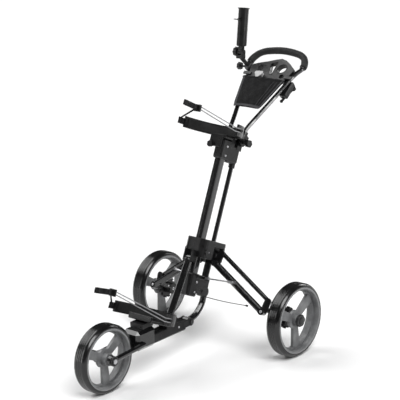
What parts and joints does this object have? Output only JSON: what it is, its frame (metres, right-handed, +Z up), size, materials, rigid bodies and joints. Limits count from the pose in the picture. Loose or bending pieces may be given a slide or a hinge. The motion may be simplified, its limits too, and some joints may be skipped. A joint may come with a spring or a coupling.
{
  "type": "golf_push_cart",
  "caption": "Black folding golf push cart with spoked wheels, twin-tube mast, bag cradles with elastic straps, console, net pouch, brake lever and umbrella holder",
  "frame": {"origin": "on the floor under the middle of the cart's bounding box", "axes": "+X to the cart's left-hand side as it is pushed, the side seen at the right of the picture; -Y forwards to the single front wheel; +Z up"},
  "size_m": [0.7316, 1.2232, 1.223],
  "materials": {
    "brake_cable_L": "satin",
    "brake_cable_R": "satin",
    "brake_housing": "satin",
    "brake_lever": "satin",
    "brake_plunger_L": "satin",
    "brake_plunger_R": "satin",
    "brake_ring_L": "satin",
    "brake_ring_R": "satin",
    "clamp_knob": "satin",
    "console": "satin",
    "console_clip": "satin",
    "cradle_knob": "satin",
    "frame_block": "satin",
    "front_axle": "satin",
    "front_beam": "satin",
    "front_brace": "gloss",
    "front_fork": "gloss",
    "front_rim": "satin",
    "front_tyre": "satin",
    "grip": "matte",
    "handle_clamp_knob": "satin",
    "handle_foot": "satin",
    "handle_rail_L": "gloss",
    "handle_rail_R": "gloss",
    "hub_cap_L": "satin",
    "hub_cap_R": "satin",
    "leg_tube_L": "gloss",
    "leg_tube_R": "gloss",
    "link_tube_L": "gloss",
    "link_tube_R": "gloss",
    "lower_bent_tube": "gloss",
    "lower_bungee": "matte",
    "lower_clip": "satin",
    "lower_cradle": "satin",
    "lower_pull_tab": "matte",
    "main_tube": "gloss",
    "net_pouch": "matte",
    "rear_axle_L": "satin",
    "rear_axle_R": "satin",
    "rear_rim_L": "satin",
    "rear_rim_R": "satin",
    "rear_tyre_L": "satin",
    "rear_tyre_R": "satin",
    "stretcher_rod_L": "satin",
    "stretcher_rod_R": "satin",
    "strut_tube": "gloss",
    "top_bracket": "satin",
    "umbrella_bracket": "satin",
    "umbrella_tilt_knob": "satin",
    "umbrella_tube": "satin",
    "upper_bungee": "matte",
    "upper_clip": "satin",
    "upper_cradle": "satin",
    "upper_pull_tab": "matte",
    "wheel_carrier_L": "satin",
    "wheel_carrier_R": "satin",
    "wing_screw": "satin",
    "yoke_housing": "satin"
  },
  "bodies": {
    "mast": {"main_tube": "main_tube", "strut_tube": "strut_tube", "frame_block": "frame_block", "lower_bent_tube": "lower_bent_tube", "top_bracket": "top_bracket", "upper_cradle": "upper_cradle", "upper_bungee": "upper_bungee", "upper_clip": "upper_clip", "upper_pull_tab": "upper_pull_tab"},
    "front_frame": {"front_beam": "front_beam", "front_fork": "front_fork", "front_axle": "front_axle", "lower_cradle": "lower_cradle", "lower_bungee": "lower_bungee", "lower_clip": "lower_clip", "lower_pull_tab": "lower_pull_tab"},
    "front_wheel": {"front_tyre": "front_tyre", "front_rim": "front_rim"},
    "yoke": {"yoke_housing": "yoke_housing"},
    "brace": {"front_brace": "front_brace"},
    "handle": {"handle_foot": "handle_foot", "handle_rail_R": "handle_rail_R", "handle_rail_L": "handle_rail_L", "grip": "grip", "console": "console", "console_clip": "console_clip", "net_pouch": "net_pouch", "brake_housing": "brake_housing", "umbrella_bracket": "umbrella_bracket"},
    "brake_lever": {"brake_lever": "brake_lever"},
    "handle_knob": {"handle_clamp_knob": "handle_clamp_knob"},
    "cradle_knob": {"cradle_knob": "cradle_knob"},
    "umbrella": {"umbrella_tube": "umbrella_tube"},
    "umbrella_knob": {"umbrella_tilt_knob": "umbrella_tilt_knob"},
    "clamp_knob": {"clamp_knob": "clamp_knob"},
    "wing_screw": {"wing_screw": "wing_screw"},
    "leg_R": {"leg_tube_R": "leg_tube_R"},
    "link_R": {"link_tube_R": "link_tube_R"},
    "carrier_R": {"wheel_carrier_R": "wheel_carrier_R", "rear_axle_R": "rear_axle_R"},
    "stretcher_R": {"stretcher_rod_R": "stretcher_rod_R"},
    "brake_cable_R": {"brake_cable_R": "brake_cable_R"},
    "rear_wheel_R": {"rear_tyre_R": "rear_tyre_R", "rear_rim_R": "rear_rim_R", "hub_cap_R": "hub_cap_R", "brake_ring_R": "brake_ring_R"},
    "brake_plunger_R": {"brake_plunger_R": "brake_plunger_R"},
    "leg_L": {"leg_tube_L": "leg_tube_L"},
    "link_L": {"link_tube_L": "link_tube_L"},
    "carrier_L": {"wheel_carrier_L": "wheel_carrier_L", "rear_axle_L": "rear_axle_L"},
    "stretcher_L": {"stretcher_rod_L": "stretcher_rod_L"},
    "brake_cable_L": {"brake_cable_L": "brake_cable_L"},
    "rear_wheel_L": {"rear_tyre_L": "rear_tyre_L", "rear_rim_L": "rear_rim_L", "hub_cap_L": "hub_cap_L", "brake_ring_L": "brake_ring_L"},
    "brake_plunger_L": {"brake_plunger_L": "brake_plunger_L"}
  },
  "joints": [
    {"name": "front_fold", "type": "hinge", "parent": "mast", "child": "front_frame", "pos_m": [0, -0.0295, 0.13], "axis": [1, 0, 0], "range_deg": [-29.68, 0]},
    {"name": "yoke_slide", "type": "slide", "parent": "mast", "child": "yoke", "axis": [0, 0.4019, 0.9157], "range_m": [0, 0.0582]},
    {"name": "brace_swing", "type": "hinge", "parent": "yoke", "child": "brace", "pos_m": [0, -0.00518, 0.36979], "axis": [1, 0, 0], "range_deg": [-0.2, 1.4]},
    {"name": "leg_fold_R", "type": "hinge", "parent": "yoke", "child": "leg_R", "pos_m": [0.046, 0.0906, 0.33299], "axis": [-0.2624, 0.8836, -0.3879], "range_deg": [0, 10.9]},
    {"name": "link_fold_R", "type": "hinge", "parent": "yoke", "child": "link_R", "pos_m": [0.046, 0.13555, 0.36], "axis": [-0.2624, 0.8836, -0.3879], "range_deg": [0, 10.9]},
    {"name": "carrier_turn_R", "type": "hinge", "parent": "leg_R", "child": "carrier_R", "pos_m": [0.263, 0.09024, 0.18538], "axis": [-0.2624, 0.8836, -0.3879], "range_deg": [-10.9, 0]},
    {"name": "stretcher_swing_R", "type": "hinge", "parent": "mast", "child": "stretcher_R", "pos_m": [0.0343, 0.0467, 0.28324], "axis": [-0.2624, 0.8836, -0.3879], "range_deg": [-23.5, 0]},
    {"name": "brake_cable_swing_R", "type": "hinge", "parent": "mast", "child": "brake_cable_R", "pos_m": [0.033, 0.0177, 0.22214], "axis": [-0.2624, 0.8836, -0.3879], "range_deg": [-10, 0]},
    {"name": "rear_wheel_spin_R", "type": "hinge", "parent": "carrier_R", "child": "rear_wheel_R", "pos_m": [0.332, 0.1965, 0.14], "axis": [1, 0, 0], "continuous": true},
    {"name": "brake_plunger_slide_R", "type": "slide", "parent": "carrier_R", "child": "brake_plunger_R", "axis": [1, 0, 0], "range_m": [0, 0.0076]},
    {"name": "leg_fold_L", "type": "hinge", "parent": "yoke", "child": "leg_L", "pos_m": [-0.046, 0.0906, 0.33299], "axis": [-0.2624, -0.8836, 0.3879], "range_deg": [0, 10.9]},
    {"name": "link_fold_L", "type": "hinge", "parent": "yoke", "child": "link_L", "pos_m": [-0.046, 0.13555, 0.36], "axis": [-0.2624, -0.8836, 0.3879], "range_deg": [0, 10.9]},
    {"name": "carrier_turn_L", "type": "hinge", "parent": "leg_L", "child": "carrier_L", "pos_m": [-0.263, 0.09024, 0.18538], "axis": [-0.2624, -0.8836, 0.3879], "range_deg": [-10.9, 0]},
    {"name": "stretcher_swing_L", "type": "hinge", "parent": "mast", "child": "stretcher_L", "pos_m": [-0.0343, 0.0467, 0.28324], "axis": [-0.2624, -0.8836, 0.3879], "range_deg": [-23.5, 0]},
    {"name": "brake_cable_swing_L", "type": "hinge", "parent": "mast", "child": "brake_cable_L", "pos_m": [-0.033, 0.0177, 0.22214], "axis": [-0.2624, -0.8836, 0.3879], "range_deg": [-10, 0]},
    {"name": "rear_wheel_spin_L", "type": "hinge", "parent": "carrier_L", "child": "rear_wheel_L", "pos_m": [-0.332, 0.1965, 0.14], "axis": [1, 0, 0], "continuous": true},
    {"name": "brake_plunger_slide_L", "type": "slide", "parent": "carrier_L", "child": "brake_plunger_L", "axis": [-1, 0, 0], "range_m": [0, 0.0076]},
    {"name": "front_wheel_spin", "type": "hinge", "parent": "front_frame", "child": "front_wheel", "pos_m": [0, -0.4845, 0.1265], "axis": [1, 0, 0], "continuous": true},
    {"name": "handle_fold", "type": "hinge", "parent": "mast", "child": "handle", "pos_m": [0, 0.29396, 0.75395], "axis": [1, 0, 0], "range_deg": [-120, 0]},
    {"name": "brake_lever_turn", "type": "hinge", "parent": "handle", "child": "brake_lever", "pos_m": [0.1, 0.51851, 0.93128], "axis": [0, -0.6428, 0.766], "range_deg": [0, 25]},
    {"name": "handle_knob_turn", "type": "hinge", "parent": "mast", "child": "handle_knob", "pos_m": [0, 0.29396, 0.75395], "axis": [1, 0, 0], "range_deg": [-180, 180]},
    {"name": "cradle_knob_turn", "type": "hinge", "parent": "mast", "child": "cradle_knob", "pos_m": [-0.03, 0.17483, 0.76693], "axis": [0, 0.9157, -0.4019], "range_deg": [-180, 180]},
    {"name": "umbrella_tilt", "type": "hinge", "parent": "handle", "child": "umbrella", "pos_m": [-0.15, 0.51463, 1.04994], "axis": [1, 0, 0], "range_deg": [-45, 45]},
    {"name": "umbrella_knob_turn", "type": "hinge", "parent": "handle", "child": "umbrella_knob", "pos_m": [-0.15, 0.51463, 1.04994], "axis": [1, 0, 0], "range_deg": [-180, 180]},
    {"name": "clamp_knob_turn", "type": "hinge", "parent": "handle", "child": "clamp_knob", "pos_m": [-0.1353, 0.51798, 0.99414], "axis": [1, 0, 0], "range_deg": [-180, 180]},
    {"name": "wing_screw_turn", "type": "hinge", "parent": "umbrella", "child": "wing_screw", "pos_m": [-0.15, 0.51359, 1.17884], "axis": [0, 0.991, -0.134], "range_deg": [-180, 180]}
  ],
  "couplings": [
    {"joint": "yoke_slide", "follows": "front_fold", "m_per_rad": -0.11197},
    {"joint": "brace_swing", "follows": "front_fold", "ratio": -0.03942},
    {"joint": "leg_fold_R", "follows": "front_fold", "ratio": -0.36152},
    {"joint": "link_fold_R", "follows": "front_fold", "ratio": -0.36152},
    {"joint": "carrier_turn_R", "follows": "front_fold", "ratio": 0.36152},
    {"joint": "stretcher_swing_R", "follows": "front_fold", "ratio": 0.77965},
    {"joint": "brake_cable_swing_R", "follows": "front_fold", "ratio": 0.32952},
    {"joint": "brake_plunger_slide_R", "follows": "brake_lever_turn", "m_per_rad": 0.017189},
    {"joint": "leg_fold_L", "follows": "front_fold", "ratio": -0.36152},
    {"joint": "link_fold_L", "follows": "front_fold", "ratio": -0.36152},
    {"joint": "carrier_turn_L", "follows": "front_fold", "ratio": 0.36152},
    {"joint": "stretcher_swing_L", "follows": "front_fold", "ratio": 0.77965},
    {"joint": "brake_cable_swing_L", "follows": "front_fold", "ratio": 0.32952},
    {"joint": "brake_plunger_slide_L", "follows": "brake_lever_turn", "m_per_rad": 0.017189}
  ]
}
